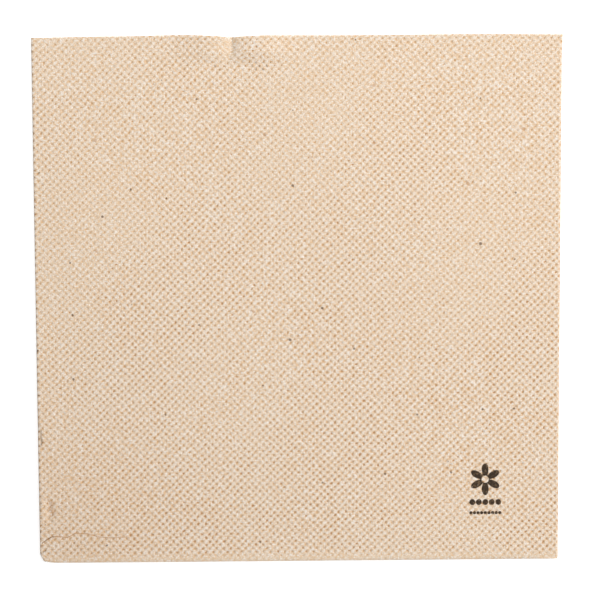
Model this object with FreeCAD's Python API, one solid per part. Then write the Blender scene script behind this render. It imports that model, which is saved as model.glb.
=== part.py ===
import FreeCAD, Part
import math
import os

from FreeCAD import Vector

# A square sheet of two-ply embossed tissue, folded in half and in half again, lying flat.
# +X runs along the second fold, +Y along the first fold, and +Z is up.
# The origin is in the middle of the underside, where the sheet meets the table.
# Lengths are in millimetres, and angles in degrees.

# The flat sheet: its width crosses the first fold, and its length the second
SHEET_WIDTH = 329.0
SHEET_LENGTH = 330.8
SHEET_THICKNESS = 0.30

# The air that stays inside each folded pair, and between the two pairs
PAIR_GAP = 0.15
MIDDLE_GAP = 0.25

# Neither fold is quite central, or quite square to the cut edges
FIRST_FOLD_OFF_CENTRE = 0.1
SECOND_FOLD_OFF_CENTRE = 1.25
FOLD_SKEW = 0.4

# The open corner of the top layer flares out a little
FLARE_WIDTH = 0.35
FLARE_LENGTH = 2.5

# The pucker is two puffed cells beside a sharp valley, running out from the top cut edge
VALLEY_X = 62.8
VALLEY_LEAN = 1.2
LEFT_CELL_WIDTH = 9.0
LEFT_CELL_HEIGHT = 0.9
RIGHT_CELL_WIDTH = 9.6
RIGHT_CELL_HEIGHT = 0.7
PUCKER_LENGTH = 9.5
PUCKER_STATIONS = 5
CELL_POINTS = 7
PUCKER_MARGIN = 1.5
NARROW_END = 0.25

# The top cut edge strays from its line: distance from the valley, and how far it strays
EDGE_WAVE = [
    (-37.8, 0.25),
    (-14.8, 0.60),
    (-6.8, 0.35),
    (0.0, -0.40),
    (9.0, 0.30),
    (37.2, 0.14),
    (77.2, 0.26),
]

# How far a blank runs past the finished edges before it is trimmed
TRIM_ALLOWANCE = 6.0

# What follows from the sizes above
PAIR_THICKNESS = 2 * SHEET_THICKNESS + PAIR_GAP
STACK_THICKNESS = 2 * PAIR_THICKNESS + MIDDLE_GAP
FIRST_FOLD_RADIUS = PAIR_THICKNESS / 2
SECOND_FOLD_RADIUS = STACK_THICKNESS / 2
SKEW_SLOPE = math.tan(math.radians(FOLD_SKEW))

# Each fold takes up the length of its bend, along the middle of the paper
FIRST_BEND = math.pi * (FIRST_FOLD_RADIUS - SHEET_THICKNESS / 2)
SECOND_BEND = math.pi * (SECOND_FOLD_RADIUS - SHEET_THICKNESS / 2)
HALF_WIDTH = (SHEET_WIDTH - FIRST_BEND) / 2 + FIRST_FOLD_RADIUS
HALF_LENGTH = (SHEET_LENGTH - SECOND_BEND) / 2 + SECOND_FOLD_RADIUS
OUTER_WIDTH = HALF_WIDTH - FIRST_FOLD_OFF_CENTRE
INNER_WIDTH = HALF_WIDTH + FIRST_FOLD_OFF_CENTRE
NEAR_LENGTH = HALF_LENGTH + SECOND_FOLD_OFF_CENTRE
FAR_LENGTH = HALF_LENGTH - SECOND_FOLD_OFF_CENTRE
BLANK_WIDTH = HALF_WIDTH + TRIM_ALLOWANCE
BLANK_LENGTH = HALF_LENGTH + TRIM_ALLOWANCE

# Where the two folds lie, from the origin
FIRST_FOLD_X = -SHEET_WIDTH / 4
SECOND_FOLD_Y = -SHEET_LENGTH / 4


def at(x, y, z):
    """A point given by its distances from the first fold, the second fold and the table."""
    return Vector(FIRST_FOLD_X + x, SECOND_FOLD_Y + y, z)


def line(start, end):
    return Part.LineSegment(start, end).toShape()


def folded_pair():
    """The section of two layers joined by the first fold: a long U lying on its side.

    It stands in the XZ plane where the second fold begins, at the height of the upper pair.
    """
    y = SECOND_FOLD_RADIUS
    middle = STACK_THICKNESS - FIRST_FOLD_RADIUS
    outer = FIRST_FOLD_RADIUS
    inner = PAIR_GAP / 2
    end = BLANK_WIDTH
    edges = [
        line(at(end, y, middle + outer), at(outer, y, middle + outer)),
        Part.Arc(
            at(outer, y, middle + outer), at(0, y, middle), at(outer, y, middle - outer)
        ).toShape(),
        line(at(outer, y, middle - outer), at(end, y, middle - outer)),
        line(at(end, y, middle - outer), at(end, y, middle - inner)),
        line(at(end, y, middle - inner), at(outer, y, middle - inner)),
        Part.Arc(
            at(outer, y, middle - inner),
            at(outer - inner, y, middle),
            at(outer, y, middle + inner),
        ).toShape(),
        line(at(outer, y, middle + inner), at(end, y, middle + inner)),
        line(at(end, y, middle + inner), at(end, y, middle + outer)),
    ]
    return Part.Face(Part.Wire(edges))


def double_fold():
    """The folded pair carried down one arm, round the second fold, and back under itself.

    The turn bends the first fold round the second, which closes the corner where they cross.
    """
    pair = folded_pair()
    axis = at(0, SECOND_FOLD_RADIUS, SECOND_FOLD_RADIUS)
    run = Vector(0, BLANK_LENGTH, 0)
    upper_arm = pair.extrude(run)
    turn = pair.revolve(axis, Vector(1, 0, 0), 180)
    lower_pair = pair.copy()
    lower_pair.rotate(axis, Vector(1, 0, 0), 180)
    lower_arm = lower_pair.extrude(run)
    return upper_arm.fuse([turn, lower_arm])


def cell_line(start_x, end_x, height, y, z):
    """One puffed cell's edge at one station: a half wave of that height above z."""
    points = []
    for i in range(CELL_POINTS):
        share = i / (CELL_POINTS - 1)
        x = start_x + share * (end_x - start_x)
        points.append(at(x, y, z + height * math.sin(math.pi * share)))
    curve = Part.BSplineCurve()
    curve.interpolate(points)
    return curve.toShape()


def pucker_section(station):
    """The top layer's section across the pucker, at a station from 0, flat, to 1, at the edge."""
    past_edge = TRIM_ALLOWANCE / 2
    y = NEAR_LENGTH + past_edge - (PUCKER_LENGTH + past_edge) * (1 - station)
    rise = station * station * (3 - 2 * station)
    width = NARROW_END + (1 - NARROW_END) * station
    valley = VALLEY_X - VALLEY_LEAN * (1 - station)
    left = valley - LEFT_CELL_WIDTH * width
    right = valley + RIGHT_CELL_WIDTH * width
    left_end = VALLEY_X - VALLEY_LEAN - LEFT_CELL_WIDTH - PUCKER_MARGIN
    right_end = VALLEY_X + RIGHT_CELL_WIDTH + PUCKER_MARGIN
    top = STACK_THICKNESS
    under = STACK_THICKNESS - SHEET_THICKNESS
    edges = [
        line(at(left_end, y, top), at(left, y, top)),
        cell_line(left, valley, LEFT_CELL_HEIGHT * rise, y, top),
        cell_line(valley, right, RIGHT_CELL_HEIGHT * rise, y, top),
        line(at(right, y, top), at(right_end, y, top)),
        line(at(right_end, y, top), at(right_end, y, under)),
        line(at(right_end, y, under), at(right, y, under)),
        cell_line(right, valley, RIGHT_CELL_HEIGHT * rise, y, under),
        cell_line(valley, left, LEFT_CELL_HEIGHT * rise, y, under),
        line(at(left, y, under), at(left_end, y, under)),
        line(at(left_end, y, under), at(left_end, y, top)),
    ]
    return Part.Wire(edges)


def add_pucker(sheet):
    """The flat top layer gives way to a lofted panel of the same thickness."""
    stations = [i / (PUCKER_STATIONS - 1) for i in range(PUCKER_STATIONS)]
    panel = Part.makeLoft([pucker_section(s) for s in stations], True, False)
    flat = pucker_section(0).BoundBox
    notch = Part.makeBox(
        flat.XLength,
        BLANK_LENGTH,
        SHEET_THICKNESS + PAIR_GAP,
        Vector(flat.XMin, flat.YMin, STACK_THICKNESS - SHEET_THICKNESS - PAIR_GAP / 2),
    )
    return sheet.cut(notch).fuse(panel)


def top_edge(length, slope, wave):
    """The top cut edge, from left of the first fold to past the right edge."""
    start, end = -TRIM_ALLOWANCE, BLANK_WIDTH + TRIM_ALLOWANCE
    if not wave:
        return line(at(start, length + slope * start, 0), at(end, length + slope * end, 0))
    strays = [(VALLEY_X + from_valley, rise) for from_valley, rise in wave]
    ends = [(start, 0.0), (0.0, 0.0), (OUTER_WIDTH, 0.0), (end, 0.0)]
    points = [at(x, length + slope * x + rise, 0) for x, rise in sorted(strays + ends)]
    curve = Part.BSplineCurve()
    curve.interpolate(points)
    return curve.toShape()


def offcut(width, lean, length, slope, low, high, wave=(), flare=0.0):
    """What the knife takes off one layer: all that lies past its right and top edges."""
    far_x = BLANK_WIDTH + TRIM_ALLOWANCE
    far_y = BLANK_LENGTH + 2 * TRIM_ALLOWANCE
    near_y = -TRIM_ALLOWANCE
    top = top_edge(length, slope, list(wave))
    past_top = Part.Wire(
        [
            top,
            line(top.Vertexes[-1].Point, at(far_x, far_y, 0)),
            line(at(far_x, far_y, 0), at(-TRIM_ALLOWANCE, far_y, 0)),
            line(at(-TRIM_ALLOWANCE, far_y, 0), top.Vertexes[0].Point),
        ]
    )
    flare_y = length + slope * width - FLARE_LENGTH
    right = [
        at(width + lean * near_y, near_y, 0),
        at(width + lean * flare_y, flare_y, 0),
        at(width + lean * length + flare, length, 0),
        at(width + lean * length + flare, far_y, 0),
        at(far_x, far_y, 0),
        at(far_x, near_y, 0),
    ]
    past_right = Part.makePolygon(right + right[:1])
    waste = Part.Face(past_top).fuse(Part.Face(past_right))
    waste.translate(Vector(0, 0, low))
    return waste.extrude(Vector(0, 0, high - low))


def trim(sheet):
    """Each layer is cut to its own outline.

    The first two layers are cut together at the top. The second fold carries on the same
    two side edges, mirrored, and brings the sheet's far end back under its near end.
    """
    bottom_gap = SHEET_THICKNESS + PAIR_GAP / 2
    middle = STACK_THICKNESS / 2
    top_gap = STACK_THICKNESS - bottom_gap
    above = STACK_THICKNESS + LEFT_CELL_HEIGHT + RIGHT_CELL_HEIGHT
    offcuts = [
        offcut(
            OUTER_WIDTH, SKEW_SLOPE, NEAR_LENGTH, -SKEW_SLOPE, top_gap, above,
            EDGE_WAVE, FLARE_WIDTH,
        ),
        offcut(INNER_WIDTH, -SKEW_SLOPE, NEAR_LENGTH, -SKEW_SLOPE, middle, top_gap, EDGE_WAVE),
        offcut(INNER_WIDTH, SKEW_SLOPE, FAR_LENGTH, SKEW_SLOPE, bottom_gap, middle),
        offcut(OUTER_WIDTH, -SKEW_SLOPE, FAR_LENGTH, SKEW_SLOPE, -SHEET_THICKNESS, bottom_gap),
    ]
    return sheet.cut(offcuts)


def main():
    sheet = trim(add_pucker(double_fold())).removeSplitter()
    solid = sheet.Solids[0]
    os.makedirs("parts", exist_ok=True)
    solid.exportStep("parts/folded_sheet.step")
    print("solids", len(sheet.Solids), "valid", solid.isValid(), "volume", round(solid.Volume, 1))


main()
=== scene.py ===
import math

import bpy
import numpy as np
from mathutils import Matrix, Vector


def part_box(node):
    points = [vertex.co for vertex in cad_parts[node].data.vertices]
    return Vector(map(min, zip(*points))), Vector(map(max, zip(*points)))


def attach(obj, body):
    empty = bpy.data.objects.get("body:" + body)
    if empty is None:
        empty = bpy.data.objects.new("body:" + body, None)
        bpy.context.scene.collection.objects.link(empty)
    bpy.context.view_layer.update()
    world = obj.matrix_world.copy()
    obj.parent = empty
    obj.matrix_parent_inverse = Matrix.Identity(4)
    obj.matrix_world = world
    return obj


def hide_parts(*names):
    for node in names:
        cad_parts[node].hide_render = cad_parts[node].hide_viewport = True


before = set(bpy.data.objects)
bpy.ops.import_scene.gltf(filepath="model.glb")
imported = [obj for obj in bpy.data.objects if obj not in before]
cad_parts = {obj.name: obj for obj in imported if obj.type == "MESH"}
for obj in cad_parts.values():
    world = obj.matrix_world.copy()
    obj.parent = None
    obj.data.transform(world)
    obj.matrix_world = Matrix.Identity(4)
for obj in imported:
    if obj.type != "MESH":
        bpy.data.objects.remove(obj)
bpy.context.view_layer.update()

bl_info = {
    "name": "Folded Paper Napkin",
    "version": (1, 0, 0),
    "blender": (4, 5, 0),
    "location": "View3D > Sidebar > Napkin",
    "description": "Builds a quarter-folded napkin of embossed brown tissue and its studio",
    "category": "Add Mesh",
}

MM = 0.001
NODE = "folded_sheet"
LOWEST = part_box(NODE)[0]

# The first fold runs along Y at the left, and the second along X at the bottom
FIRST_FOLD_X = LOWEST.x
SECOND_FOLD_Y = LOWEST.y

# The mesh: the embossed panel has two fine cells to each half step of the embossing. The other
# layers have plain cells, whose lines lie on some of the fine ones, closest near the folds.
HALF_STEPS = 144
FINE_CELLS = 2 * HALF_STEPS
PLAIN_LINES = np.array([0, 1, 2, 3, 4, 6, 8, *range(12, FINE_CELLS + 1, 12)])
PLAIN_CELLS = len(PLAIN_LINES) - 1
FIRST_BEND_CELLS = 6
SECOND_BEND_CELLS = 8

# Kinds of node that the materials use often
MATH = "ShaderNodeMath"
VECTOR_MATH = "ShaderNodeVectorMath"
RANGE = "ShaderNodeMapRange"
MIX = "ShaderNodeMix"
NOISE = "ShaderNodeTexNoise"
SPLIT = "ShaderNodeSeparateXYZ"


def linear(hex_colour):
    """An sRGB hex colour as linear red, green, blue and alpha."""
    values = [int(hex_colour[i : i + 2], 16) / 255 for i in (1, 3, 5)]
    curved = [v / 12.92 if v <= 0.04045 else ((v + 0.055) / 1.055) ** 2.4 for v in values]
    return (*curved, 1.0)


def length(name, description, millimetres):
    """A length that a user may change, given in millimetres and kept in metres."""
    return bpy.props.FloatProperty(
        name=name,
        description=description,
        default=millimetres * MM,
        unit="LENGTH",
        precision=5,
    )


def colour(name, description, hex_colour):
    """A colour that a user may change, given as sRGB hex."""
    return bpy.props.FloatVectorProperty(
        name=name,
        description=description,
        default=linear(hex_colour),
        size=4,
        min=0.0,
        max=1.0,
        subtype="COLOR",
    )


class NapkinSheetSettings(bpy.types.PropertyGroup):
    thickness: length("Thickness", "Two plies pressed together", 0.30)
    pair_gap: length("Pair gap", "Air between two layers that the first fold joins", 0.15)
    middle_gap: length("Middle gap", "Air between the two folded pairs", 0.25)
    outer_width: length("Outer width", "From the first fold to the top layer's cut edge", 164.42)
    inner_width: length("Inner width", "From the first fold to the next layer's cut edge", 164.62)
    near_length: length("Near length", "From the second fold to the top cut edge", 166.25)
    far_length: length("Far length", "From the second fold to the far end's cut edge", 163.89)
    skew: bpy.props.FloatProperty(
        name="Skew",
        description="How far the folds are from square to the cut edges",
        default=math.radians(0.4),
        subtype="ANGLE",
    )
    fold_lean: bpy.props.FloatProperty(
        name="Fold lean",
        description="How far the first fold is from square to the second",
        default=math.radians(0.1),
        subtype="ANGLE",
    )
    cut_skew: bpy.props.FloatProperty(
        name="Cut skew",
        description="How far the top cut edge is from square to the first fold",
        default=math.radians(0.17),
        subtype="ANGLE",
    )
    valley: length("Valley", "From the first fold to the pucker's valley", 62.8)
    pucker_length: length("Pucker length", "From the top cut edge to where it fades", 9.5)
    left_cell: length("Left cell", "Height of the puffed cell left of the valley", 0.95)
    right_cell: length("Right cell", "Height of the puffed cell right of the valley", 1.3)
    flare: length("Flare", "How far the top layer's open corner leans out", 0.35)
    pit_depth: length("Pit depth", "How deep the embossing presses each dot", 0.23)
    crown: length("Crown", "How high the tissue stands between the dots", 0.08)
    corner_draw: length("Corner draw", "How far the closed corner is blunted", 1.2)
    swell: bpy.props.FloatProperty(
        name="Swell",
        description="How much the stack's height wanders from place to place",
        default=0.10,
        subtype="FACTOR",
    )


class NapkinColourSettings(bpy.types.PropertyGroup):
    tissue: colour("Tissue", "Unbleached recycled pulp", "#E5D0B5")
    # Pale also serves as painted highlight on the crowns between the dots.
    pale: colour("Pale fibre", "The palest wisps of pulp", "#FCF8F3")
    # Warm is also partly painted shade, browning the pits.
    warm: colour("Warm fibre", "Tan pulp, brown at the pits", "#E0B88B")
    grey: colour("Grey fibre", "Old newsprint in the pulp", "#D2C8BC")
    # Pit is partly pressed pulp and partly painted shade in the pits. It is also the painted shade
    # in the crumpled dent and towards the closed corner, and the colour of the straw flecks.
    pit: colour("Pit", "Pulp pressed thin and dark by the embossing", "#BA8756")
    # Crease is painted shade along the long crease.
    crease: colour("Crease", "Pulp pressed hard in a fine crease", "#B98655")
    # Fleck is the bark flecks and also the deepest painted shade in the creases.
    fleck_and_crease_shade: colour("Fleck", "Bark and old ink left in the pulp", "#5F4630")
    ink: colour("Ink", "One dark brown printing ink", "#3D3228")


class NapkinStudioSettings(bpy.types.PropertyGroup):
    distance: bpy.props.FloatProperty(
        name="Distance",
        description="From the camera to the middle of the napkin",
        default=0.75,
        unit="LENGTH",
    )
    lean_back: bpy.props.FloatProperty(
        name="Lean back",
        description="How far the camera stands from straight above, towards the cut edge",
        default=math.radians(4.89),
        subtype="ANGLE",
    )
    lean_right: bpy.props.FloatProperty(
        name="Lean right",
        description="How far the camera stands from straight above, towards the right",
        default=math.radians(0.19),
        subtype="ANGLE",
    )
    roll: bpy.props.FloatProperty(
        name="Roll",
        description="How far the napkin lies turned in the picture",
        default=math.radians(0.55),
        subtype="ANGLE",
    )
    lens: bpy.props.FloatProperty(name="Lens", description="Focal length", default=142.6)
    key: bpy.props.FloatProperty(
        name="Key light", description="Soft lamp at the right", default=22.2, unit="POWER"
    )
    top: bpy.props.FloatProperty(
        name="Top light", description="Weak lamp beyond the cut edge", default=1.8, unit="POWER"
    )
    fill: bpy.props.FloatProperty(
        name="Fill", description="Even light from the whole room", default=0.33
    )
    front: bpy.props.FloatProperty(
        name="Front light", description="Low weak lamp before the fold", default=2.2, unit="POWER"
    )


def hairpin(distance, offset, radius):
    """Carry a strip round a half-circle bend.

    distance runs along the middle of the strip from the middle of the bend, positive on the upper
    arm, and offset is outwards from the middle. The angle is the distance over the radius, held
    within a quarter turn. Along is minus the radius plus offset, times its cosine, plus what is
    left of the distance, and height is the radius plus offset, times its sine.
    """
    quarter = math.pi / 2 * radius
    turned = np.clip(distance, -quarter, quarter)
    angle = turned / radius
    along = np.abs(distance - turned) - (radius + offset) * np.cos(angle)
    height = (radius + offset) * np.sin(angle)
    return along, height


def smooth_step(x):
    """Three x squared less two x cubed, with x held from 0 to 1."""
    x = np.clip(x, 0.0, 1.0)
    return x * x * (3 - 2 * x)


# The top cut edge strays from its line: distance from the valley, and how far, in millimetres
EDGE_WAVE = [
    (-62.8, 0.0),
    (-37.8, 0.25),
    (-14.8, 0.55),
    (-6.8, 0.25),
    (-1.3, -0.28),
    (3.0, 0.00),
    (9.0, 0.25),
    (37.2, 0.14),
    (77.2, 0.26),
    (101.6, 0.0),
]


def edge_wave(x, settings):
    """How far the top cut edge strays from its line, in smooth steps from point to point."""
    places, strays = np.array(EDGE_WAVE).T * MM
    along = np.interp(x - settings.valley, places, np.arange(len(places)))
    before = np.minimum(along.astype(int), len(places) - 2)
    share = smooth_step(along - before)
    return strays[before] * (1 - share) + strays[before + 1] * share


# The pucker's valley: over what length it rises, how far it is from its setting, and how far it
# bends to the left, from where and over what length
VALLEY_RISE = 5.0 * MM
VALLEY_SHIFT = 0.1 * MM
VALLEY_BEND = 1.4 * MM
BEND_START = 4.5 * MM
BEND_LENGTH = 4.0 * MM

# The puffed cells beside the valley: how fast each climbs, where it begins to fall, and how far
LEFT_CELL = (3.2 * MM, 5.0 * MM, 15.0 * MM)
RIGHT_CELL = (2.4 * MM, 7.0 * MM, 16.0 * MM)


def valley_line(y, settings):
    """Where the pucker's valley is at that distance from the second fold, and its strength.

    It runs straight in from the cut edge, then bends to the left and fades, by smooth steps.
    """
    from_edge = settings.near_length - y
    rise = smooth_step((settings.pucker_length - from_edge) / VALLEY_RISE)
    bend = VALLEY_BEND * smooth_step((from_edge - BEND_START) / BEND_LENGTH)
    return settings.valley + VALLEY_SHIFT - bend, rise


def puffed_cell(away, climb, top, fall):
    """How high a cell stands, up to 1, at that distance from the valley.

    It climbs steeply at first, as one less a falling exponential, and falls by a smooth step.
    """
    away = np.maximum(away, 0.0)
    return (1 - np.exp(-away / climb)) * (1 - smooth_step((away - top) / fall))


def pucker(x, y, settings):
    """How high the top layer stands at the pucker: a cell on each side of the sharp valley."""
    valley, rise = valley_line(y, settings)
    left = puffed_cell(valley - x, *LEFT_CELL)
    right = puffed_cell(x - valley, *RIGHT_CELL)
    return rise * (settings.left_cell * left + settings.right_cell * right)


# The dents in the top layer by the closed corner: points from the two folds, in millimetres,
# then the dent's height and its half width. The first one is crumpled.
CRUMPLED = [(2.7, 19.6), (3.9, 18.2), (2.8, 16.9), (4.0, 15.7), (3.1, 14.2)]
DENTS = [
    (CRUMPLED, -0.45, 0.60),
    ([(0.9, 20.0), (1.0, 14.0)], 0.22, 0.80),
    ([(0.4, 43.0), (0.4, 37.0)], -0.15, 0.50),
]


def dents(x, y):
    """The height of all the dents: each is a bell over the distance to its line of points."""
    total = np.zeros_like(x)
    for points, height, half_width in DENTS:
        nearest = np.full_like(x, np.inf)
        line = np.array(points) * MM
        for (x0, y0), (x1, y1) in zip(line[:-1], line[1:]):
            run = np.array([x1 - x0, y1 - y0])
            share = np.clip(((x - x0) * run[0] + (y - y0) * run[1]) / (run @ run), 0.0, 1.0)
            away = np.hypot(x - x0 - share * run[0], y - y0 - share * run[1])
            nearest = np.minimum(nearest, away)
        total += height * MM * np.exp(-((nearest / (half_width * MM)) ** 2))
    return total


def swell(x, y):
    """A slow wander from -1 to 1 over the sheet: three waves, each 80 to 100 mm long.

    Two of them run across and up the sheet, swayed by longer waves, and the third slants.
    """
    across = np.sin(x / (13.1 * MM) + 0.8 * np.sin(y / (17.0 * MM)))
    up = np.sin(y / (15.2 * MM) + 1.3 + 0.7 * np.sin(x / (21.0 * MM)))
    slanting = np.sin((x + y) / (18.7 * MM) + 2.1)
    return (across + up + slanting) / 3


# How faint the embossing is at the second fold, and how much fainter a folded side away from it,
# at the tops of the waves and beside the first fold
FAINT_AT_FOLD = 0.05
FAINTER_UP = 0.52
FAINTER_WAVES = 0.13
FAINTER_BESIDE_FOLD = 0.18
FOLDED_SIDE = 166.0 * MM


def faintness(x, y):
    """How faint the embossing is, up to 1, at distances from the two folds.

    A slope up the sheet, two slanting waves, about 60 and 70 mm long, and a bell along the first
    fold, which fades by a smooth step towards the closed corner, where the dots are crisp.
    """
    swayed = np.sin(x / (9.7 * MM) + 1.3 * np.sin(y / (31.0 * MM)))
    slanting = np.sin((y - 0.6 * x) / (12.5 * MM) + 0.4)
    beside_fold = np.exp(-((x / (22.0 * MM)) ** 2)) * smooth_step(y / (45.0 * MM))
    faint = FAINT_AT_FOLD + FAINTER_UP * y / FOLDED_SIDE
    faint = faint + FAINTER_WAVES * (swayed + slanting) + FAINTER_BESIDE_FOLD * beside_fold
    return np.clip(faint, -0.2, 1.0)


# The closed corner: how far up and across it is pushed to the right, and how far up and across
# it is lifted
PUSH_UP, PUSH_ACROSS = 2.9 * MM, 4.0 * MM
LIFT_UP, LIFT_ACROSS = 3.0 * MM, 5.5 * MM


def corner_draw(x, y, settings):
    """How far the closed corner is pushed in, to the right and upwards.

    To the right it is greatest at the nose of the second fold, and fades in a straight line along
    the first fold and by a smooth step away from it. Upwards it is a third of that at the first
    fold, and fades by smooth steps.
    """
    along = np.clip(1 - y / PUSH_UP, 0.0, 1.0)
    right = settings.corner_draw * along * (1 - smooth_step(x / PUSH_ACROSS))
    rise = (1 - smooth_step(x / LIFT_ACROSS)) * (1 - smooth_step(y / LIFT_UP))
    return right, settings.corner_draw / 3 * rise


# The flare of the open corner and the waves of the cut edge fade into the sheet over this length
# and by this power of the share of the way to the edge
FLARE_LENGTH = 3.0 * MM
WAVE_POWER = 8

# The stack keeps its height at the folds, and wanders in full from here inwards
SWELL_START = 12.0 * MM

# The closed corner is pressed flatter: the most, and how far that reaches across and up
PRESSED = 0.40
PRESSED_ACROSS, PRESSED_UP = 17.0 * MM, 22.0 * MM


def place(across, across_bend, up, up_bend, side, settings):
    """The place of points of the sheet's outer (side 1) or inner (side -1) face.

    across and up are shares of the way from each fold to the cut edge, signed by the arm, and the
    bends are shares of the way round each fold. The sheet goes round the first hairpin, and the
    pair that this makes goes round the second.
    """
    half = settings.thickness / 2
    first_radius = (settings.pair_gap + settings.thickness) / 2
    first_reach = first_radius + half
    second_radius = (2 * settings.thickness + settings.pair_gap + settings.middle_gap) / 2
    second_reach = second_radius + first_reach
    slope = math.tan(settings.skew)

    width = np.where(across >= 0, settings.outer_width, settings.inner_width)
    end = np.where(up >= 0, settings.near_length, settings.far_length)
    width = width + slope * up * end * np.where(across >= 0, 1, -1)
    past_flare = smooth_step((up * end - settings.near_length) / FLARE_LENGTH + 1)
    width = width + settings.flare * past_flare * (across >= 0) * (up > 0)
    x_share = np.abs(across) * settings.outer_width
    near = up >= 0
    end = end + x_share * np.where(near, -math.tan(settings.cut_skew), slope)
    wave = np.where(near, edge_wave(x_share, settings) * np.abs(up) ** WAVE_POWER, 0.0)

    quarter = math.pi / 2
    u = across_bend * quarter * first_radius + across * (width - first_reach)
    v = up_bend * quarter * second_radius + up * (end - second_reach) + wave
    along, in_pair = hairpin(u, side * half, first_radius)
    x = first_reach + along
    along, height = hairpin(v, in_pair, second_radius)
    y = second_reach + along
    z = second_reach + height

    right, rise = corner_draw(x, y, settings)
    x = x + right + math.tan(settings.fold_lean) * y
    y = y + rise
    top_layer = (across >= 0) & (up > 0)
    z = z + np.where(top_layer, pucker(x, y, settings) + dents(x, y), 0.0)
    inland = smooth_step(np.minimum(x, y) / SWELL_START)
    pressed = PRESSED * np.exp(-((x / PRESSED_ACROSS) ** 2) - (y / PRESSED_UP) ** 2)
    z = z * (1 + settings.swell * swell(x, y) * inland - pressed)
    return np.stack([FIRST_FOLD_X + x, SECOND_FOLD_Y + y, z], axis=-1)


# The printed mark, in millimetres: the ring inside its petals, how much longer than that a petal
# is, and its rows of dots by height from its middle, dot radius, pitch and half the row's length
MARK_X = FIRST_FOLD_X + 141.6 * MM
MARK_Y = SECOND_FOLD_Y + 25.8 * MM
PETAL_RING = 1.15
PETAL_LENGTH = 3.9
DOT_ROWS = [(-7.3, 0.92, 2.05, 5.1), (-10.7, 0.50, 1.15, 5.1)]

# The mark's own grid: its cell and its rise in millimetres, and how many of the panel's fine
# cells it reaches above and beside the mark's middle, and below it
INK_CELL = 0.11
INK_RISE = 0.05
INK_REACH = 10.5
INK_BELOW = 24


def mark(x, y):
    """The printed mark: six petals over two rows of dots, above 0 where there is ink.

    x and y are in millimetres from the middle of the petals. A petal ends where the radius passes
    a share of the sine of three times the angle, and begins outside a small ring. A row of dots
    is one dot, repeated along the row.
    """
    radius = np.hypot(x, y)
    petals = PETAL_RING + PETAL_LENGTH * np.abs(np.sin(3 * np.arctan2(y, x))) - radius
    covered = np.minimum(petals, radius - PETAL_RING)
    for row_y, dot_radius, pitch, half_row in DOT_ROWS:
        along = (x + pitch / 2) % pitch - pitch / 2
        dots = dot_radius - np.hypot(along, y - row_y)
        covered = np.maximum(covered, np.minimum(dots, half_row - np.abs(x)))
    return covered


def emboss(columns, rows, settings):
    """The relief of the embossing, in metres, at counts of half steps from the two folds.

    The cosines of both counts times a half turn, multiplied, are 1 at a pit and -1 at a crown. Pits
    are cubed, so that they stay narrow, and crowns are round.
    """
    wave = np.cos(math.pi * columns) * np.cos(math.pi * rows)
    pits = np.clip(wave, 0.0, 1.0) ** 3
    crowns = np.clip(-wave, 0.0, 1.0)
    return settings.crown * crowns - settings.pit_depth * pits


def arms_and_bend(bend_cells):
    """Shares along the lower arm, round the bend and along the upper arm, as two arrays."""
    arm = PLAIN_LINES / FINE_CELLS
    bend = np.linspace(-1.0, 1.0, bend_cells + 1)
    shares = np.concatenate([-arm[:0:-1], np.zeros(bend_cells + 1), arm[1:]])
    bends = np.concatenate([np.full(PLAIN_CELLS, -1.0), bend, np.full(PLAIN_CELLS, 1.0)])
    return shares, bends


def quads(numbers):
    """The four-cornered faces between neighbouring rows and columns of a grid of numbers."""
    corners = [numbers[:-1, :-1], numbers[:-1, 1:], numbers[1:, 1:], numbers[1:, :-1]]
    return np.stack(corners, axis=-1).reshape(-1, 4)


def strips(plain, fine):
    """Faces between a line of plain points and the line of fine points beside it.

    Each face has two plain corners and all the fine points across from them, so that no point
    hangs loose. Faces with the same number of corners are in one array.
    """
    found = []
    widths = np.diff(PLAIN_LINES)
    for width in np.unique(widths):
        first = np.flatnonzero(widths == width)
        along_fine = fine[PLAIN_LINES[first][:, None] + np.arange(width + 1)]
        ends = np.stack([plain[first + 1], plain[first]], axis=1)
        found.append(np.concatenate([ends, along_fine], axis=1))
    return found


def turned_over(groups):
    """The same faces, facing the other way."""
    return [group[:, ::-1] for group in groups]


# What is left of the embossing: at the second fold, where it is whole again in half steps, how
# much the valley stretches out of it, and how far that reaches on the left and on the right
KEPT_AT_FOLD = 0.45
WHOLE_FROM = 2.5
STRETCHED = 0.5
STRETCHED_LEFT, STRETCHED_RIGHT = 5.0 * MM, 2.0 * MM

# The most of the embossing that is left anywhere, and how much of it the faintest place loses
MOST_KEPT = 1.12
LOST_WHERE_FAINT = 0.46

# Each dot's own strength, and how far the mesh's points stray from their lines, both by chance
SEED = 11
WEAKEST_DOT, STRONGEST_DOT = 0.55, 1.15
STRAY = 0.06 * MM

# The valley is sharp where it is this strong, at points this near to it. So many columns beside
# the nearest one follow it onto the valley.
SHARP_FROM = 0.2
ON_VALLEY = 0.01 * MM
FOLLOWING = 5


def kept_by_fold(count):
    """The share of the embossing that is left so many half steps from the second fold."""
    return KEPT_AT_FOLD + (1 - KEPT_AT_FOLD) * smooth_step(np.abs(count) / WHOLE_FROM)


def kept_on_top(x, y, valley, rise):
    """The share of the embossing that is left on the top layer, apart from the fold's part.

    It is 1 less a bell across the valley, times a share that falls with the faintness.
    """
    reach = np.where(x < valley, STRETCHED_LEFT, STRETCHED_RIGHT)
    stretched = STRETCHED * rise * np.exp(-(((x - valley) / reach) ** 2))
    return (1 - stretched) * (MOST_KEPT - LOST_WHERE_FAINT * faintness(x, y))


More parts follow.
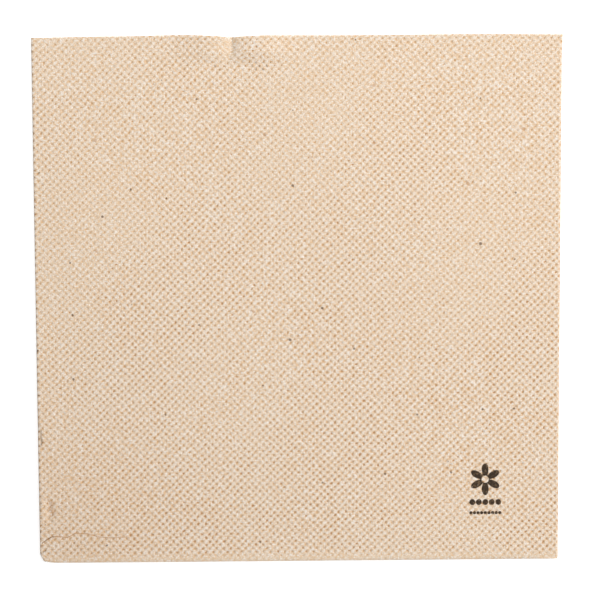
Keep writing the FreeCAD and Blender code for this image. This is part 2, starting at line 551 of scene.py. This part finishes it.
def towards_valley(points, settings):
    """How far, as a share of the width, each fine point moves for a crisp valley.

    In each row the point nearest the valley moves onto it, and its neighbours follow less and
    less, in a straight line.
    """
    valley, rise = valley_line(points[..., 1] - SECOND_FOLD_Y, settings)
    miss = (valley - points[..., 0] + FIRST_FOLD_X) / settings.outer_width
    nearest = np.abs(miss).argmin(axis=1)[:, None]
    columns = np.abs(np.arange(points.shape[1])[None, :] - nearest)
    moved = np.take_along_axis(miss * rise, nearest, axis=1)
    return moved * np.clip(1 - columns / FOLLOWING, 0, 1)


def embossed_panel(settings):
    """The top layer's fine points, what is left of the embossing there, and where it is sharp."""
    share = np.linspace(0.0, 1.0, FINE_CELLS + 1)
    grid = np.broadcast_arrays(share[None, :], 1.0, share[:, None], 1.0)
    points = place(*grid, 1, settings)
    drawn = share[None, :] + towards_valley(points, settings)
    points = place(drawn, *grid[1:], 1, settings)
    x = points[..., 0] - FIRST_FOLD_X
    y = points[..., 1] - SECOND_FOLD_Y
    valley, rise = valley_line(y, settings)

    across, up = share[None, :] * HALF_STEPS, share[:, None] * HALF_STEPS
    kept = kept_on_top(x, y, valley, rise) * kept_by_fold(up)
    relief = emboss(across, up, settings) * smooth_step(np.minimum(across, up)) * kept
    chance = np.random.default_rng(SEED)
    dots = (HALF_STEPS + 1, HALF_STEPS + 1)
    strength = chance.uniform(WEAKEST_DOT, STRONGEST_DOT, dots)
    nearest = np.rint(share * HALF_STEPS).astype(int)
    points[..., 2] += relief * strength[np.ix_(nearest, nearest)]
    points[1:-1, 1:-1, :2] += chance.normal(0, STRAY, points[1:-1, 1:-1, :2].shape)
    sharp = (np.abs(x - valley) < ON_VALLEY) & (rise > SHARP_FROM)
    return points, kept, sharp


def plain_counts(grid, settings):
    """How many half steps of the embossing each plain point is from the two folds."""
    across, across_bend, up, up_bend = grid
    bend = math.pi / 2 * settings.thickness
    u = across * HALF_STEPS + (across_bend - 1) * bend / settings.outer_width * HALF_STEPS
    v = up * HALF_STEPS + (up_bend - 1) * 2 * bend / settings.near_length * HALF_STEPS
    return np.stack([u, v], axis=-1).reshape(-1, 2)


class Sheet:
    """The points, faces and maps of the folded sheet, gathered before they go into a mesh."""

    def __init__(self, settings):
        across, across_bend = arms_and_bend(FIRST_BEND_CELLS)
        up, up_bend = arms_and_bend(SECOND_BEND_CELLS)
        grid = np.broadcast_arrays(
            across[None, :], across_bend[None, :], up[:, None], up_bend[:, None]
        )
        outer = place(*grid, 1, settings)
        inner = place(*grid, -1, settings)
        self.panel, kept, sharp = embossed_panel(settings)

        total = grid[0].size
        self.first_column = PLAIN_CELLS + FIRST_BEND_CELLS
        self.first_row = PLAIN_CELLS + SECOND_BEND_CELLS
        self.outer = np.arange(total).reshape(grid[0].shape)
        self.inner = self.outer + total
        self.fine = 2 * total + np.arange(kept.size).reshape(kept.shape)
        shared = self.fine[np.ix_(PLAIN_LINES, PLAIN_LINES)]
        self.outer[self.first_row :, self.first_column :] = shared
        self.points = np.concatenate([p.reshape(-1, 3) for p in (outer, inner, self.panel)])

        plain = plain_counts(grid, settings)
        count = np.linspace(0.0, HALF_STEPS, FINE_CELLS + 1)
        fine = np.stack(np.meshgrid(count, count), axis=-1).reshape(-1, 2)
        self.steps = np.concatenate([plain, plain, fine])
        self.relief = np.concatenate([np.zeros(2 * total), np.ones(kept.size)])
        self.kept = np.concatenate([kept_by_fold(self.steps[: 2 * total, 1]), kept.ravel()])
        self.sharp = np.concatenate([np.zeros(2 * total, bool), sharp.ravel()])

    def faces(self):
        """All faces, wound so that they point outwards, as arrays of point numbers."""
        row, column = self.first_row, self.first_column
        outer, inner, fine = self.outer, self.inner, self.fine
        cells = quads(outer).reshape(outer.shape[0] - 1, outer.shape[1] - 1, 4)
        plain = np.ones(cells.shape[:2], bool)
        plain[row - 1 :, column - 1 :] = False
        plain[row - 1, column - 1] = True
        beside = strips(outer[row:, column - 1], fine[:, 0])
        below = turned_over(strips(outer[row - 1, column:], fine[0, :]))
        inside = turned_over([quads(inner)])
        return [cells[plain], quads(fine), *beside, *below, *inside, *self.rim()]

    def rim(self):
        """The cut edges, which join the outer face to the inner one all the way round."""
        row, column = self.first_row, self.first_column
        outer, inner, fine = self.outer, self.inner, self.fine
        bottom = quads(np.stack([inner[0], outer[0]]))
        left = quads(np.stack([outer[:, 0], inner[:, 0]]))
        right = quads(np.stack([inner[: row + 1, -1], outer[: row + 1, -1]]))
        top = quads(np.stack([outer[-1, : column + 1], inner[-1, : column + 1]]))
        top_fine = strips(inner[-1, column:], fine[-1, :])
        right_fine = turned_over(strips(inner[row:, -1], fine[:, -1]))
        return [bottom, left, right, top, *top_fine, *right_fine]

    def ink(self):
        """The printed mark's points and faces: the cells of a very fine grid that it covers.

        The grid lies on the embossed panel. Each of its points is a blend of the four panel
        points round it, by its share of the way across and up between them.
        """
        width, height = self.panel[-1, -1, :2] - self.panel[0, 0, :2]
        middle = (MARK_X - FIRST_FOLD_X) / width * FINE_CELLS
        cell = INK_CELL * MM / width * FINE_CELLS
        columns = np.arange(middle - INK_REACH, middle + INK_REACH, cell)
        middle = (MARK_Y - SECOND_FOLD_Y) / height * FINE_CELLS
        cell = INK_CELL * MM / height * FINE_CELLS
        rows = np.arange(middle - INK_BELOW, middle + INK_REACH, cell)
        left, low = columns.astype(int), rows.astype(int)
        across = (columns - left)[None, :, None]
        up = (rows - low)[:, None, None]
        lower = self.panel[np.ix_(low, left)] * (1 - across)
        lower = lower + self.panel[np.ix_(low, left + 1)] * across
        upper = self.panel[np.ix_(low + 1, left)] * (1 - across)
        upper = upper + self.panel[np.ix_(low + 1, left + 1)] * across
        points = lower * (1 - up) + upper * up
        points[..., 2] += INK_RISE * MM
        faces = quads(np.arange(len(rows) * len(columns)).reshape(len(rows), len(columns)))
        points = points.reshape(-1, 3)
        centres = points[faces].mean(axis=1)
        covered = mark((centres[:, 0] - MARK_X) / MM, (centres[:, 1] - MARK_Y) / MM) > 0
        return points, faces[covered]


def add_mesh(name, points, face_groups):
    """A new mesh object at the origin, from an array of points and arrays of point numbers."""
    used, renumbered = np.unique(
        np.concatenate([group.ravel() for group in face_groups]), return_inverse=True
    )
    faces = []
    start = 0
    for group in face_groups:
        faces += renumbered[start : start + group.size].reshape(group.shape).tolist()
        start += group.size
    mesh = bpy.data.meshes.new(name)
    mesh.from_pydata(points[used].tolist(), [], faces)
    mesh.polygons.foreach_set("use_smooth", np.ones(len(mesh.polygons), bool))
    made = bpy.data.objects.new(name, mesh)
    bpy.context.scene.collection.objects.link(made)
    return made, used


def add_maps(made, steps, relief, kept, sharp):
    """The UV map that counts the embossing's half steps, and what the mesh keeps of its relief.

    Smooth shading breaks at the edges between sharp points, which lie along the valley.
    """
    mesh = made.data
    corners = np.empty(len(mesh.loops), np.int32)
    mesh.loops.foreach_get("vertex_index", corners)
    uv_map = mesh.uv_layers.new(name="half_steps")
    uv_map.data.foreach_set("uv", steps[corners].astype(np.float32).ravel())
    modelled = mesh.attributes.new("modelled_relief", "FLOAT", "POINT")
    modelled.data.foreach_set("value", relief.astype(np.float32))
    left = mesh.attributes.new("embossing_left", "FLOAT", "POINT")
    left.data.foreach_set("value", kept.astype(np.float32))
    ends = np.empty(2 * len(mesh.edges), np.int32)
    mesh.edges.foreach_get("vertices", ends)
    breaks = mesh.attributes.new("sharp_edge", "BOOLEAN", "EDGE")
    breaks.data.foreach_set("value", sharp[ends].reshape(-1, 2).all(axis=1))


def add_node(tree, kind, inputs=(), output=0, **settings):
    """Adds a node with its settings, links or sets its inputs, and gives one of its outputs.

    The inputs are values or other nodes' outputs, in order or by name.
    """
    made = tree.nodes.new(kind)
    for name, value in settings.items():
        setattr(made, name, value)
    for socket, value in inputs.items() if isinstance(inputs, dict) else enumerate(inputs):
        if isinstance(value, bpy.types.NodeSocket):
            tree.links.new(value, made.inputs[socket])
        else:
            made.inputs[socket].default_value = value
    return made.outputs[output]


# The embossing: its half step in millimetres, how far each pit is drawn out to the upper right,
# and how far the rollers drift, in half steps, over marks of so many millimetres
HALF_STEP = 1.148
PIT_SLANT = 0.18
DRIFT, DRIFT_SIZE = 0.7, 3.5

# Noise in the pulp, as the size of its marks in millimetres, its detail and its distortion: thick
# and thin places, patches of weak and strong dots, wisps, fibres and their tints. The real fibres
# are about 0.02 mm wide, and are drawn as wide as the picture can show.
PULP = ((22.0, 2.0, 0.0), (8.0, 2.0, 0.0), (1.7, 4.0, 0.4), (0.45, 3.0, 0.0), (0.55, 2.0, 0.8))

# Hair-like fibres lie three ways: the turn, and the level of noise past which they show. They are
# so long and so wide, in millimetres.
HAIRS = ((0.5, 0.66), (1.7, 0.67), (2.6, 0.67))
HAIR_LENGTH, HAIR_WIDTH = 3.2, 0.30

# Flecks, in millimetres: how far apart they may be, how wide they are, and how many are there
BARK = (10.0, 0.64, 0.16)
STRAW = (17.0, 0.85, 0.30)

# Fine creases by the closed corner: points from the two folds and the half width, all in
# millimetres, and whether the crease runs across the sheet or up it
ACROSS, UP = 0, 1
LONG_POINTS = (
    (0.3, 5.5), (3.3, 7.4), (5.6, 7.7), (8.6, 7.5), (10.9, 8.6), (14.6, 8.5), (19.6, 7.4),
    (27.6, 7.5),
)
LONG_CREASE = (LONG_POINTS, 0.24, ACROSS)
SHORT_CREASE = (((0.6, 2.7), (1.3, 3.1), (1.8, 4.0), (2.1, 4.8)), 0.32, ACROSS)
EDGE_CREASE = (((0.6, 37.0), (0.8, 38.6), (0.6, 40.2), (0.9, 42.0)), 0.40, UP)
# The line of the painted shade in the crumpled dent.
CRUMPLED_DENT = (CRUMPLED[::-1], 1.1, UP)

# The stretch from each fold, in millimetres, that a crease's curve covers
CREASE_SPAN = 45.0


def flecks(tree, vector, spacing, size, share):
    """Round flecks about size millimetres wide, in that share of the cells of the spacing.

    Each is full inside a radius that differs from fleck to fleck, and soft at its rim.
    """
    cells = {"Vector": vector, "Scale": 1 / (spacing * MM), "Randomness": 1.0}
    distance = add_node(tree, "ShaderNodeTexVoronoi", cells, voronoi_dimensions="2D")
    chance = distance.node.outputs["Color"]
    picked = add_node(tree, SPLIT, (chance,))
    chosen = add_node(tree, MATH, (picked, share), operation="LESS_THAN")
    half, least = 0.5 * size / spacing, 0.25 * size / spacing
    reach = add_node(tree, MATH, (picked.node.outputs[1], half, least), operation="MULTIPLY_ADD")
    inside = add_node(tree, MATH, (reach, distance), operation="SUBTRACT")
    soft = add_node(tree, RANGE, (inside, 0.0, 0.12 * size / spacing, 0.0, 1.0))
    return add_node(tree, MATH, (soft, chosen), operation="MULTIPLY")


def hairs(tree, vector, turn, level):
    """Hair-like fibres: noise drawn out along one direction, where it passes a level."""
    drawn_out = (HAIR_WIDTH / HAIR_LENGTH, 1.0, 1.0)
    drawn = {"Vector": vector, "Rotation": (0.0, 0.0, turn), "Scale": drawn_out}
    drawn = add_node(tree, "ShaderNodeMapping", drawn, vector_type="POINT")
    strands = {"Vector": drawn, "Scale": 1 / (HAIR_WIDTH * MM), "Detail": 1.0, "Distortion": 0.6}
    strands = add_node(tree, NOISE, strands)
    return add_node(tree, RANGE, (strands, level, level + 0.06, 0.0, 1.0))


def pits(tree, steps, kept):
    """How deep in a pit a point is, from 1 at its middle to -1 on a crown.

    The product of the two cosines, plus a share of the product of the two sines, which draws each
    pit out towards the upper right, times the share of the embossing that is left there.
    """
    across = add_node(tree, SPLIT, (steps,))
    up = across.node.outputs[1]
    turns = [add_node(tree, MATH, (part, math.pi), operation="MULTIPLY") for part in (across, up)]
    cosines = [add_node(tree, MATH, (turn,), operation="COSINE") for turn in turns]
    sines = [add_node(tree, MATH, (turn,), operation="SINE") for turn in turns]
    straight = add_node(tree, MATH, cosines, operation="MULTIPLY")
    slanted = add_node(tree, MATH, sines, operation="MULTIPLY")
    both = add_node(tree, MATH, (slanted, PIT_SLANT, straight), operation="MULTIPLY_ADD")
    return add_node(tree, MATH, (both, kept), operation="MULTIPLY")


def crease_line(tree, unfolded, points, half_width, along):
    """A thin crease: its distance from one fold is a curve over its distance from the other.

    It is 1 on the curve, and falls to 0 over the half width. It fades along its length, and ends
    at its first and last points.
    """
    shares = {0: unfolded, "Scale": 1 / (CREASE_SPAN * MM)}
    shares = add_node(tree, VECTOR_MATH, shares, operation="SCALE")
    parts = add_node(tree, SPLIT, (shares,)).node.outputs
    run, height = parts[along], parts[1 - along]
    curve = add_node(tree, "ShaderNodeFloatCurve", {"Value": run})
    line = curve.node.mapping.curves[0].points
    while len(line) < len(points):
        line.new(0.5, 0.5)
    for dot, point in zip(line, points):
        dot.location = (point[along] / CREASE_SPAN, point[1 - along] / CREASE_SPAN)
    curve.node.mapping.update()
    away = add_node(tree, MATH, (height, curve), operation="SUBTRACT")
    away = add_node(tree, MATH, (away,), operation="ABSOLUTE")
    on_line = add_node(tree, RANGE, (away, half_width / CREASE_SPAN, 0.0, 0.0, 1.0))
    start, end = points[0][along] / CREASE_SPAN, points[-1][along] / CREASE_SPAN
    fading = add_node(tree, RANGE, (run, start + 0.2 * (end - start), end, 1.0, 0.55))
    begun = add_node(tree, MATH, (run, start), operation="GREATER_THAN")
    ended = add_node(tree, MATH, (run, end), operation="LESS_THAN")
    for part in (fading, begun, ended):
        on_line = add_node(tree, MATH, (on_line, part), operation="MULTIPLY")
    return on_line


def wandering(tree, steps, spot):
    """The counts of half steps, moved by up to about a tenth, as the rollers slip and stretch."""
    drift = {"Vector": spot, "Scale": 1 / (DRIFT_SIZE * MM), "Detail": 1.0}
    drift = add_node(tree, NOISE, drift, "Color")
    centred = add_node(tree, VECTOR_MATH, (drift, (0.5, 0.5, 0.5)), operation="SUBTRACT")
    most = (DRIFT, DRIFT, 0.0)
    return add_node(tree, VECTOR_MATH, (centred, most, steps), operation="MULTIPLY_ADD")


def corner_creases(tree, unfolded):
    """The creases by the closed corner: the long one, the short ones, and where both get the
    deepest painted shade.

    The long crease has the deepest painted shade up to a few millimetres from the first fold, and
    the short ones all along.
    """
    long_crease = crease_line(tree, unfolded, *LONG_CREASE)
    short_crease = crease_line(tree, unfolded, *SHORT_CREASE)
    edge_crease = crease_line(tree, unfolded, *EDGE_CREASE)
    short = add_node(tree, MATH, (short_crease, edge_crease), operation="MAXIMUM")
    across = add_node(tree, SPLIT, (unfolded,))
    dark = add_node(tree, RANGE, (across, 3.5 * MM, 5.5 * MM, 1.0, 0.0))
    dark = add_node(tree, MATH, (dark, long_crease), operation="MULTIPLY")
    return long_crease, short, add_node(tree, MATH, (dark, short), operation="MAXIMUM")


def pit_cores(tree, steps, pit, grain, patches):
    """The ragged dark dot in each pit, partly pressed pulp and partly painted shade, stronger in
    some patches, and by the luck of its place.
    """
    cell = add_node(tree, VECTOR_MATH, (steps, (0.5, 0.5, 0.0)), operation="ADD")
    cell = add_node(tree, VECTOR_MATH, (cell,), operation="FLOOR")
    luck = add_node(tree, "ShaderNodeTexWhiteNoise", (cell,), noise_dimensions="2D")
    strength = add_node(tree, RANGE, (luck, 0.0, 1.0, 0.42, 1.02))
    patchy = add_node(tree, RANGE, (patches, 0.35, 0.65, 0.68, 1.08))
    strength = add_node(tree, MATH, (strength, patchy), operation="MULTIPLY")
    ragged = add_node(tree, MATH, (grain, 0.5), operation="SUBTRACT")
    ragged = add_node(tree, MATH, (ragged, pit), operation="ADD")
    core = add_node(tree, RANGE, (ragged, 0.50, 0.98, 0.0, 1.0))
    return add_node(tree, MATH, (core, strength), operation="MULTIPLY")


def tissue_material(colours):
    """Unbleached recycled tissue, two plies, pin-to-pin embossed.

    To the eye it is a dull, warm, slightly uneven tan with a dark dot in each pit, pale wisps
    between them, and stray flecks of bark. The dark dots are partly painted shade and the pale
    places between them partly painted highlight, and painted shade also darkens the dent, the
    creases and the closed corner. Paper has an IOR of about 1.5, and no gloss.
    """
    material = bpy.data.materials.new("recycled_tissue_embossed")
    material.use_nodes = True
    tree = material.node_tree
    shader = tree.nodes["Principled BSDF"]
    spot = add_node(tree, "ShaderNodeTexCoord", output="Object")
    steps = add_node(tree, "ShaderNodeUVMap", uv_map="half_steps")
    modelled = add_node(tree, "ShaderNodeAttribute", output="Fac", attribute_name="modelled_relief")
    left = add_node(tree, "ShaderNodeAttribute", output="Fac", attribute_name="embossing_left")
    unfolded = {0: steps, "Scale": HALF_STEP * MM}
    unfolded = add_node(tree, VECTOR_MATH, unfolded, operation="SCALE")

    noises = []
    for size, detail, distortion in PULP:
        noise = {"Vector": spot, "Scale": 1 / (size * MM), "Detail": detail}
        noises.append(add_node(tree, NOISE, noise | {"Distortion": distortion}))
    clouds, patches, wisps, grain, tint = noises
    pit = pits(tree, wandering(tree, steps, spot), left)
    core = pit_cores(tree, steps, pit, grain, patches)
    from_corner = add_node(tree, VECTOR_MATH, (unfolded,), "Value", operation="LENGTH")
    bark = flecks(tree, unfolded, *BARK)
    straw = flecks(tree, unfolded, *STRAW)
    dent_shade = crease_line(tree, unfolded, *CRUMPLED_DENT)
    long_crease, short_creases, crease_shade = corner_creases(tree, unfolded)
    strands = [hairs(tree, spot, turn, level) for turn, level in HAIRS]

    # Each layer of colour: its pattern, where that begins and is full, the most of it, the colour
    base = colours.tissue
    for pattern, begins, full, most, over in (
        (clouds, 0.35, 0.65, 0.14, colours.warm),
        # Painted highlight, in part: paler tissue on the crowns between the dots.
        (pit, 0.05, -0.85, 0.62, colours.pale),
        # Partly painted shade: brown in the pits.
        (pit, 0.12, 0.85, 0.38, colours.warm),
        (wisps, 0.52, 0.75, 0.55, colours.pale),
        (grain, 0.50, 0.68, 0.80, colours.warm),
        (grain, 0.48, 0.30, 0.90, colours.pale),
        (tint, 0.53, 0.68, 0.42, colours.grey),
        (tint, 0.45, 0.30, 0.45, colours.warm),
        # The dark dot in each pit: partly pressed pulp, partly painted shade.
        (core, 0.0, 1.0, 1.0, colours.pit),
        # Painted shade: darker towards the closed corner.
        (from_corner, 65.0 * MM, 10.0 * MM, 0.12, colours.pit),
        *((hair, 0.0, 1.0, 0.45, colours.warm) for hair in strands),
        (bark, 0.0, 1.0, 0.78, colours.fleck_and_crease_shade),
        (straw, 0.0, 1.0, 0.50, colours.pit),
        # Painted shade in the crumpled dent.
        (dent_shade, 0.0, 1.0, 0.55, colours.pit),
        # Painted shade along the long crease.
        (long_crease, 0.0, 1.0, 1.0, colours.crease),
        # The deepest painted shade in the creases.
        (crease_shade, 0.0, 1.0, 0.65, colours.fleck_and_crease_shade),
    ):
        share = add_node(tree, RANGE, (pattern, begins, full, 0.0, most))
        base = add_node(tree, MIX, {0: share, 6: base, 7: over}, 2, data_type="RGBA")

    # Bump adds what the mesh doesn't have: all of the embossing under and behind, half of it on
    # top, where the mesh has the rest, and the tooth of the paper. Heights are in millimetres.
    depth = add_node(tree, RANGE, (modelled, 0.0, 1.0, -0.26, -0.12))
    stamped = add_node(tree, RANGE, (pit, 0.1, 0.9, 0.0, 1.0))
    height = add_node(tree, MATH, (stamped, depth), operation="MULTIPLY")
    bumps = ((wisps, 0.07), (grain, 0.09), (short_creases, -0.08), (long_crease, -0.04))
    for pattern, high in bumps:
        height = add_node(tree, MATH, (pattern, high, height), operation="MULTIPLY_ADD")
    bump = {"Height": height, "Distance": MM, "Strength": 1.0}
    bump = add_node(tree, "ShaderNodeBump", bump)

    tree.links.new(base, shader.inputs["Base Color"])
    tree.links.new(bump, shader.inputs["Normal"])
    shader.inputs["Roughness"].default_value = 0.95
    shader.inputs["IOR"].default_value = 1.5
    shader.inputs["Specular IOR Level"].default_value = 0.15
    shader.inputs["Sheen Weight"].default_value = 0.08
    shader.inputs["Sheen Roughness"].default_value = 0.6
    return material


def ink_material(colours):
    """Water-based printing ink, soaked into tissue: dark and matt, and thin in places."""
    material = bpy.data.materials.new("printing_ink_on_tissue")
    material.use_nodes = True
    tree = material.node_tree
    shader = tree.nodes["Principled BSDF"]
    spot = add_node(tree, "ShaderNodeTexCoord", output="Object")
    soaked = add_node(tree, NOISE, {"Vector": spot, "Scale": 1 / (0.7 * MM), "Detail": 3.0})
    thin = add_node(tree, RANGE, (soaked, 0.50, 0.75, 0.0, 0.22))
    ink = {0: thin, 6: colours.ink, 7: colours.warm}
    ink = add_node(tree, MIX, ink, 2, data_type="RGBA")
    tree.links.new(ink, shader.inputs["Base Color"])
    shader.inputs["Roughness"].default_value = 0.85
    shader.inputs["Specular IOR Level"].default_value = 0.15
    return material


# The backdrop's own light, where it is seen straight: enough to show as pure white
BACKDROP_LIGHT = 0.56

# Each lamp: the setting that it takes its power from, its place, its side and its colour
LAMPS = (
    ("key", (1.29, 0.35, 1.05), 0.5, "#FFFAF4"),
    ("top", (-0.05, 0.57, 0.48), 0.4, "#FFFAF4"),
    ("front", (-0.10, -0.98, 0.14), 0.25, "#FFFFFF"),
)
FLOOR_HALF = 0.7

# The camera's sensor in millimetres, and where the middle of the picture falls on the napkin,
# from the two folds
SENSOR_WIDTH = 36.0
AIM_X = 83.45 * MM
AIM_Y = 83.2 * MM


def seen_directly(tree):
    """1 for what the camera sees straight, in a mirror or through glass, and 0 for other light."""
    seen = add_node(tree, "ShaderNodeLightPath", output="Is Camera Ray")
    path = seen.node.outputs
    for other in (path["Is Glossy Ray"], path["Is Transmission Ray"]):
        seen = add_node(tree, MATH, (seen, other), operation="MAXIMUM")
    return seen


def backdrop_material():
    """Matt white paper under the napkin: it keeps the shadow, and shows pure white elsewhere."""
    material = bpy.data.materials.new("white_paper_backdrop")
    material.use_nodes = True
    tree = material.node_tree
    tree.nodes.clear()
    paper = add_node(tree, "ShaderNodeBsdfDiffuse", {"Color": linear("#F2F2F2")})
    light = add_node(tree, MATH, (seen_directly(tree), BACKDROP_LIGHT), operation="MULTIPLY")
    glow = {"Color": linear("#FFFFFF"), "Strength": light}
    glow = add_node(tree, "ShaderNodeEmission", glow)
    both = add_node(tree, "ShaderNodeAddShader", (paper, glow))
    tree.links.new(both, tree.nodes.new("ShaderNodeOutputMaterial").inputs["Surface"])
    return material


def light_the_room(strength):
    """An even white room, which the camera sees as pure white."""
    world = bpy.data.worlds.new("white_room")
    bpy.context.scene.world = world
    world.use_nodes = True
    tree = world.node_tree
    tree.nodes.clear()
    even = {"Color": linear("#F7FAFF"), "Strength": strength}
    even = add_node(tree, "ShaderNodeBackground", even)
    white = {"Color": linear("#FFFFFF"), "Strength": 1.0}
    white = add_node(tree, "ShaderNodeBackground", white)
    either = add_node(tree, "ShaderNodeMixShader", (seen_directly(tree), even, white))
    tree.links.new(either, tree.nodes.new("ShaderNodeOutputWorld").inputs["Surface"])


def add_lamp(name, location, side, power, hex_colour):
    """A square soft lamp that faces the middle of the napkin."""
    light = bpy.data.lights.new(name, "AREA")
    light.shape = "SQUARE"
    light.size = side
    light.energy = power
    light.color = linear(hex_colour)[:3]
    lamp = bpy.data.objects.new(name, light)
    towards = (-Vector(location)).to_track_quat("-Z", "Y")
    lamp.matrix_world = Matrix.Translation(location) @ towards.to_matrix().to_4x4()
    bpy.context.scene.collection.objects.link(lamp)


def add_camera(studio):
    """The camera looks down at the napkin, leaning a little towards its cut edges."""
    data = bpy.data.cameras.new("camera")
    data.lens = studio.lens
    data.sensor_width = SENSOR_WIDTH
    data.clip_start = 0.05
    data.clip_end = 10.0
    camera = bpy.data.objects.new("camera", data)
    aim = Vector((FIRST_FOLD_X + AIM_X, SECOND_FOLD_Y + AIM_Y, 0.0))
    away = Vector((math.tan(studio.lean_right), math.tan(studio.lean_back), 1.0)).normalized()
    right = Vector((0.0, 1.0, 0.0)).cross(away).normalized()
    above = away.cross(right)
    axes = Matrix((right, above, away)).transposed().to_4x4()
    turn = Matrix.Rotation(-studio.roll, 4, "Z")
    camera.matrix_world = Matrix.Translation(aim + away * studio.distance) @ axes @ turn
    bpy.context.scene.collection.objects.link(camera)
    bpy.context.scene.camera = camera


class NAPKIN_OT_folded_sheet(bpy.types.Operator):
    """Build the embossed sheet, folded twice, in place of the plain solid"""

    bl_idname = "napkin.folded_sheet"
    bl_label = "Folded sheet"

    def execute(self, context):
        settings = context.scene.napkin_sheet
        sheet = Sheet(settings)
        if not np.isfinite(sheet.points).all():
            raise RuntimeError("The napkin's sizes don't make a sheet")
        made, used = add_mesh(NODE + "_tissue", sheet.points, sheet.faces())
        maps = (sheet.steps, sheet.relief, sheet.kept, sheet.sharp)
        add_maps(made, *(values[used] for values in maps))
        made.data.materials.append(tissue_material(context.scene.napkin_colours))
        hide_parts(NODE)
        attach(made, "root")
        return {"FINISHED"}


class NAPKIN_OT_printed_mark(bpy.types.Operator):
    """Print the small flower and its dots on the top layer"""

    bl_idname = "napkin.printed_mark"
    bl_label = "Printed mark"

    def execute(self, context):
        points, faces = Sheet(context.scene.napkin_sheet).ink()
        if not len(faces):
            raise RuntimeError("The printed mark misses the top layer")
        made, _ = add_mesh("printed_mark", points, [faces])
        film = made.modifiers.new("film", "SOLIDIFY")
        film.thickness = INK_RISE * MM
        made.data.materials.append(ink_material(context.scene.napkin_colours))
        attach(made, "root")
        return {"FINISHED"}


class NAPKIN_OT_stage(bpy.types.Operator):
    """Build the white backdrop, the soft lamps and the camera"""

    bl_idname = "napkin.stage"
    bl_label = "Stage"

    def execute(self, context):
        studio = context.scene.napkin_studio
        corners = np.array([(-1, -1, 0), (1, -1, 0), (1, 1, 0), (-1, 1, 0)]) * FLOOR_HALF
        floor, _ = add_mesh("backdrop", corners, [np.array([[0, 1, 2, 3]])])
        floor.data.materials.append(backdrop_material())
        for name, location, side, hex_colour in LAMPS:
            add_lamp(name, location, side, getattr(studio, name), hex_colour)
        light_the_room(studio.fill)
        add_camera(studio)
        context.scene.view_settings.view_transform = "Standard"
        return {"FINISHED"}


class NAPKIN_PT_panel(bpy.types.Panel):
    """The napkin's sizes, colours and studio, with a button for each piece"""

    bl_idname = "NAPKIN_PT_panel"
    bl_label = "Folded napkin"
    bl_space_type = "VIEW_3D"
    bl_region_type = "UI"
    bl_category = "Napkin"

    def draw(self, context):
        scene = context.scene
        for group in (scene.napkin_sheet, scene.napkin_colours, scene.napkin_studio):
            box = self.layout.box()
            for name in group.bl_rna.properties.keys():
                if name not in ("rna_type", "name"):
                    box.prop(group, name)
        for operator in OPERATORS:
            self.layout.operator(operator.bl_idname)


OPERATORS = (NAPKIN_OT_folded_sheet, NAPKIN_OT_printed_mark, NAPKIN_OT_stage)
SETTINGS = {
    "napkin_sheet": NapkinSheetSettings,
    "napkin_colours": NapkinColourSettings,
    "napkin_studio": NapkinStudioSettings,
}


def register():
    for kind in (*SETTINGS.values(), *OPERATORS, NAPKIN_PT_panel):
        bpy.utils.register_class(kind)
    for name, kind in SETTINGS.items():
        setattr(bpy.types.Scene, name, bpy.props.PointerProperty(type=kind))


def unregister():
    for name in SETTINGS:
        delattr(bpy.types.Scene, name)
    for kind in (NAPKIN_PT_panel, *reversed(OPERATORS), *reversed(SETTINGS.values())):
        bpy.utils.unregister_class(kind)


def main():
    register()
    bpy.ops.napkin.stage()
    bpy.ops.napkin.folded_sheet()
    bpy.ops.napkin.printed_mark()


if __name__ == "__main__":
    main()
